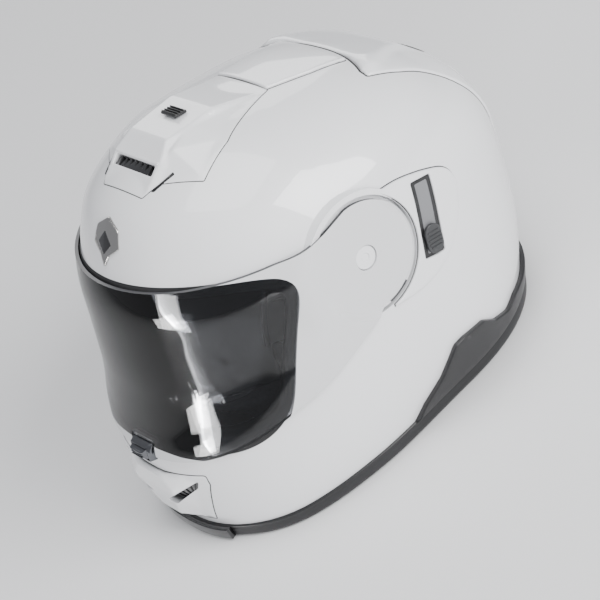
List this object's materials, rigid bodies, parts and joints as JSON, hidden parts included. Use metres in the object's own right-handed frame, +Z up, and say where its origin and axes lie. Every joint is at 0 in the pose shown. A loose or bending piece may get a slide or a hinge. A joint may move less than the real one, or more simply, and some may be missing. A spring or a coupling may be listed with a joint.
{
  "type": "motorcycle helmet",
  "caption": "Full-face helmet with a hinged clear visor, drop-down sun visor, sliding vents, padded foam liner and a ratchet chin strap.",
  "frame": {"origin": "bottom centre of the helmet's box, on the surface that the lower edge trim stands on", "axes": "+Z up, the face looks along -Y, +X is the rider's left"},
  "size_m": [0.2512, 0.3481, 0.2528],
  "materials": {
    "shell_white": "white paint under a clear coat",
    "plate_white": "moulded, satin",
    "rubber_black": "matte",
    "plastic_black": "fine grain",
    "plastic_grey": "satin",
    "hinge_plastic": "satin",
    "snap_plastic": "moulded",
    "steel_dark": "dark plated",
    "latch_metal": "dark chrome",
    "badge_chrome": "brushed, plain",
    "visor_clear": "clear polycarbonate with a hard coat",
    "insert_clear": "clear",
    "sun_smoke": "dark smoke",
    "foam_black": "moulded bead foam",
    "lining_fabric": "brushed knit over foam",
    "neck_fabric": "smooth woven cover",
    "curtain_fabric": "mesh weave",
    "webbing_black": "woven webbing",
    "tongue_orange": "satin",
    "lever_red": "moulded"
  },
  "bodies": {
    "shell": {"outer_shell": "shell_white", "eyeport_gasket": "rubber_black", "lower_edge_trim": "rubber_black", "rear_diffuser": "plastic_black", "left_side_cover": "shell_white", "right_side_cover": "shell_white", "slider_track": "plastic_grey", "brow_vent_housing": "shell_white", "crown_strip": "shell_white", "rear_spoiler": "shell_white", "rear_exhaust_grille": "plastic_black", "chin_vent_cover": "shell_white", "chin_vent_grilles": "plastic_black", "chin_under_plate": "plastic_black", "base_plate_left": "plate_white", "base_plate_right": "plate_white", "base_plate_screws": "steel_dark", "forehead_badge": "badge_chrome", "latch_housing": "latch_metal", "eps_liner": "foam_black", "chin_foam": "foam_black", "cheek_pad_left": "lining_fabric", "cheek_pad_right": "lining_fabric", "cheek_pad_snaps": "snap_plastic", "crown_pad": "lining_fabric", "neck_roll": "neck_fabric", "chin_curtain": "curtain_fabric", "breath_deflector": "rubber_black", "sun_visor_pivots": "plastic_grey", "strap_anchors": "steel_dark", "chin_strap_left": "webbing_black", "chin_strap_right": "webbing_black", "strap_pad_left": "neck_fabric", "strap_pad_right": "neck_fabric", "buckle_body": "plastic_black", "buckle_pin": "steel_dark", "ratchet_tongue": "tongue_orange"},
    "visor": {"visor_shield": "visor_clear", "visor_hinge_left": "hinge_plastic", "visor_hinge_right": "hinge_plastic", "pinlock_pins": "plastic_grey", "pinlock_lens": "insert_clear"},
    "sun_visor": {"sun_visor_lens": "sun_smoke"},
    "sun_slider": {"slider_knob": "plastic_grey"},
    "brow_vent": {"brow_vent_slider": "plastic_black"},
    "chin_vent": {"chin_vent_slider": "plastic_black"},
    "visor_lock": {"latch_button": "latch_metal"},
    "buckle_lever": {"buckle_lever": "lever_red"}
  },
  "joints": [
    {"name": "visor_hinge", "type": "hinge", "parent": "shell", "child": "visor", "pos_m": [0, -0.00424, 0.1444], "axis": [-1, 0, 0], "range_deg": [0, 50]},
    {"name": "sun_slider_slide", "type": "slide", "parent": "shell", "child": "sun_slider", "axis": [0, 0.3566, 0.9343], "range_m": [0, 0.029]},
    {"name": "sun_visor_hinge", "type": "hinge", "parent": "shell", "child": "sun_visor", "pos_m": [0, -0.00883, 0.10947], "axis": [-1, 0, 0], "range_deg": [0, 42]},
    {"name": "brow_vent_slide", "type": "slide", "parent": "shell", "child": "brow_vent", "axis": [0, 0.9703, -0.2419], "range_m": [0, 0.005]},
    {"name": "chin_vent_slide", "type": "slide", "parent": "shell", "child": "chin_vent", "axis": [0, 0.2419, 0.9703], "range_m": [0, 0.004]},
    {"name": "visor_lock_press", "type": "slide", "parent": "shell", "child": "visor_lock", "axis": [0, 0.9703, -0.2419], "range_m": [0, 0.003], "stiffness_N_per_m": 250},
    {"name": "buckle_lever_hinge", "type": "hinge", "parent": "shell", "child": "buckle_lever", "pos_m": [-0.013, -0.03424, 0.0217], "axis": [0, -1, 0], "range_deg": [0, 60], "stiffness_Nm_per_rad": 0.05}
  ],
  "couplings": [
    {"joint": "sun_visor_hinge", "follows": "sun_slider_slide", "rad_per_m": 25.27}
  ]
}
